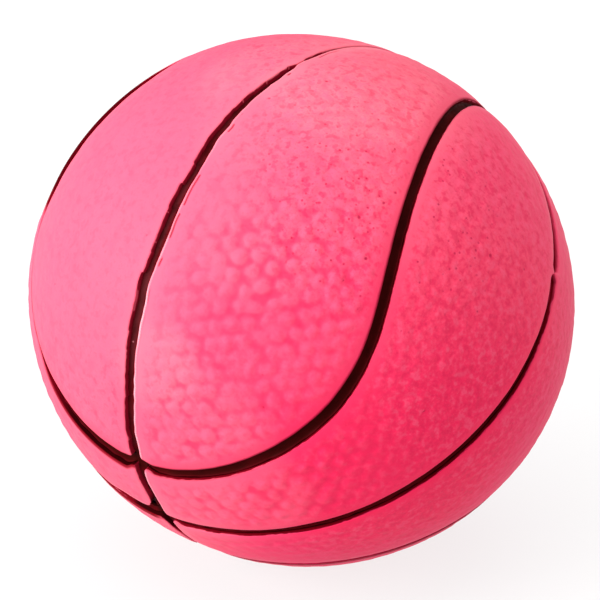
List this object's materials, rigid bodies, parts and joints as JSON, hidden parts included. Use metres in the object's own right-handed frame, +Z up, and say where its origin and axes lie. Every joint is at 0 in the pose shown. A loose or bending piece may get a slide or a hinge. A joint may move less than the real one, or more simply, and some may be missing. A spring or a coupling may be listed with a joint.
{
  "type": "foam dog ball",
  "caption": "Hand-sized pink foam fetch ball for a dog, with a pebbled skin parted by black painted grooves in the line pattern of a basketball.",
  "frame": {"origin": "centre of the ball", "axes": "+X along the moulding axis, square to the parting groove, which is also the ball's long axis; +Z up; the line pattern is rolled 37.1 degrees about X"},
  "size_m": [0.0662, 0.063, 0.063],
  "materials": {
    "foam": "matte fine-celled sponge",
    "skin": "satin moulded foam skin, pebbled",
    "line_paint": "matte brushed paint film"
  },
  "bodies": {
    "root": {"foam_core": "foam", "skin_panel_upper_right": "skin", "skin_panel_upper_left": "skin", "skin_panel_lower_left": "skin", "skin_panel_lower_right": "skin", "skin_cheek_upper_right": "skin", "skin_cheek_upper_left": "skin", "skin_cheek_lower_left": "skin", "skin_cheek_lower_right": "skin", "paint_parting_ring": "line_paint", "paint_cross_ring_right": "line_paint", "paint_cross_ring_left": "line_paint", "paint_seam_upper_right": "line_paint", "paint_seam_upper_left": "line_paint", "paint_seam_lower_left": "line_paint", "paint_seam_lower_right": "line_paint"}
  },
  "joints": []
}
